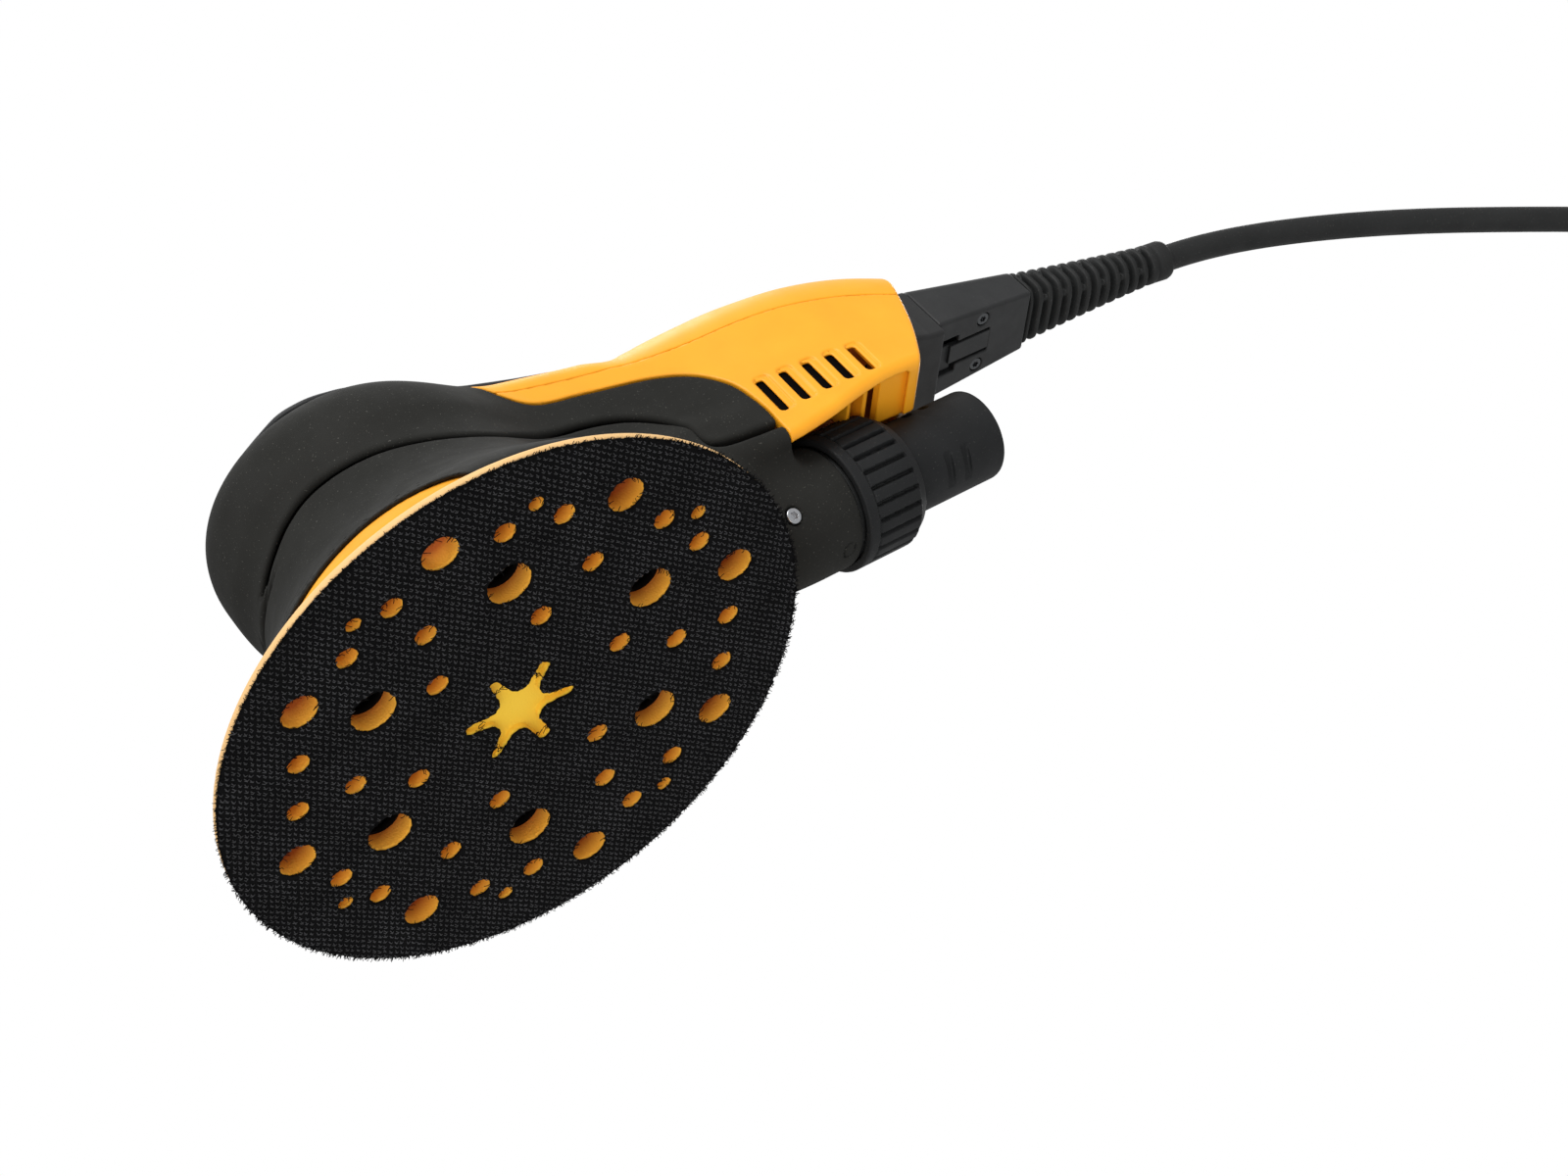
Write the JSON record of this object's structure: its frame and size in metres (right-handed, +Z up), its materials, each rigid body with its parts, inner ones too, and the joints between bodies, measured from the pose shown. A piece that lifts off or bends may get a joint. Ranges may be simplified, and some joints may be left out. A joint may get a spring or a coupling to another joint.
{
  "type": "orbital sander",
  "caption": "Corded random-orbit sander with a round perforated hook pad, palm-held head with paddle lever, rear handle, swivel dust port and detachable mains lead.",
  "frame": {"origin": "middle of the tool's footprint, without the cord, at the pad's lower face", "axes": "+X from the head along the handle towards the mains cord, +Z up from the pad face, +Y to the tool's right hand side seen from behind the handle"},
  "size_m": [0.5998, 0.2037, 0.0952],
  "materials": {
    "grip_rubber": "soft-touch, fine matt",
    "black_plastic": "satin, lightly textured",
    "yellow_plastic": "satin",
    "orange_plastic": "satin",
    "soft_rubber": "matt",
    "hook_fabric": "woven hooks",
    "pad_foam": "fine-celled foam",
    "steel": "machined",
    "aluminium": "cast and machined",
    "brass": "turned",
    "copper_wire": "enamelled copper wire",
    "circuit_board": "coated board",
    "led_lens": "clear"
  },
  "bodies": {
    "tool": {"front_grip": "grip_rubber", "dust_shroud": "black_plastic", "handle_housing": "yellow_plastic", "top_cover": "yellow_plastic", "intake_grille": "orange_plastic", "inner_chassis": "yellow_plastic", "brake_seal": "soft_rubber", "port_screw_left": "steel", "port_screw_right": "steel", "motor_bracket": "aluminium", "lower_bearing": "steel", "upper_bearing": "steel", "motor_can": "aluminium", "stator_core": "steel", "winding_lower": "copper_wire", "winding_upper": "copper_wire", "lever_pin": "steel", "lever_spring": "steel", "keypad_bezel": "black_plastic", "status_led": "led_lens", "port_seal": "soft_rubber", "controller_board": "circuit_board", "board_heatsink": "aluminium", "capacitor_left": "black_plastic", "capacitor_right": "black_plastic", "socket_frame": "black_plastic", "socket_pin_left": "brass", "socket_pin_right": "brass"},
    "rotor": {"spindle_bearing_lower": "steel", "spindle_bearing_upper": "steel", "eccentric_housing": "aluminium", "counterweight": "brass", "motor_shaft": "steel", "cooling_fan": "black_plastic", "rotor_core": "aluminium", "rotor_magnet_ring": "steel"},
    "pad": {"hook_face": "hook_fabric", "pad_foam": "pad_foam", "pad_plate": "black_plastic", "pad_stud": "steel", "pad_spindle": "steel"},
    "lever": {"lever": "black_plastic"},
    "minus_button": {"minus_button": "soft_rubber"},
    "power_button": {"power_button": "soft_rubber"},
    "plus_button": {"plus_button": "soft_rubber"},
    "collar": {"swivel_collar": "black_plastic"},
    "hose_fitting": {"hose_fitting": "black_plastic"},
    "connector": {"connector_body": "black_plastic", "connector_screw_left": "steel", "connector_screw_right": "steel", "strain_relief": "soft_rubber", "cord_tube": "soft_rubber", "cord_coil": "soft_rubber", "cord_tail": "soft_rubber", "coil_tie": "black_plastic", "plug_boot": "soft_rubber", "plug_body": "soft_rubber", "plug_pin_left": "brass", "plug_pin_right": "brass"},
    "latch": {"connector_latch": "black_plastic"}
  },
  "joints": [
    {"name": "motor_spin", "type": "hinge", "parent": "tool", "child": "rotor", "pos_m": [-0.08425, 0, 0.05], "axis": [0, 0, 1], "continuous": true},
    {"name": "pad_spin", "type": "hinge", "parent": "rotor", "child": "pad", "pos_m": [-0.08675, 0, 0.02], "axis": [0, 0, 1], "continuous": true},
    {"name": "lever_press", "type": "hinge", "parent": "tool", "child": "lever", "pos_m": [-0.10925, 0, 0.0846], "axis": [0, 1, 0], "range_deg": [0, 1.8], "stiffness_Nm_per_rad": 8, "deforming": ["lever_spring"]},
    {"name": "minus_button_press", "type": "slide", "parent": "tool", "child": "minus_button", "axis": [0, 0, -1], "range_m": [0, 0.0006], "stiffness_N_per_m": 1500},
    {"name": "power_button_press", "type": "slide", "parent": "tool", "child": "power_button", "axis": [0, 0, -1], "range_m": [0, 0.0006], "stiffness_N_per_m": 1500},
    {"name": "plus_button_press", "type": "slide", "parent": "tool", "child": "plus_button", "axis": [0, 0, -1], "range_m": [0, 0.0006], "stiffness_N_per_m": 1500},
    {"name": "collar_twist", "type": "hinge", "parent": "tool", "child": "collar", "pos_m": [-0.08425, 0, 0.0164], "axis": [0.993, 0, 0.1184], "range_deg": [0, 35]},
    {"name": "hose_swivel", "type": "hinge", "parent": "tool", "child": "hose_fitting", "pos_m": [-0.08425, 0, 0.0164], "axis": [0.993, 0, 0.1184], "continuous": true},
    {"name": "connector_unplug", "type": "slide", "parent": "tool", "child": "connector", "axis": [1, 0, 0], "range_m": [0, 0.025]},
    {"name": "latch_press", "type": "hinge", "parent": "connector", "child": "latch", "pos_m": [0.09375, 0, 0.0659], "axis": [0, 1, 0], "range_deg": [0, 4], "stiffness_Nm_per_rad": 0.6}
  ]
}
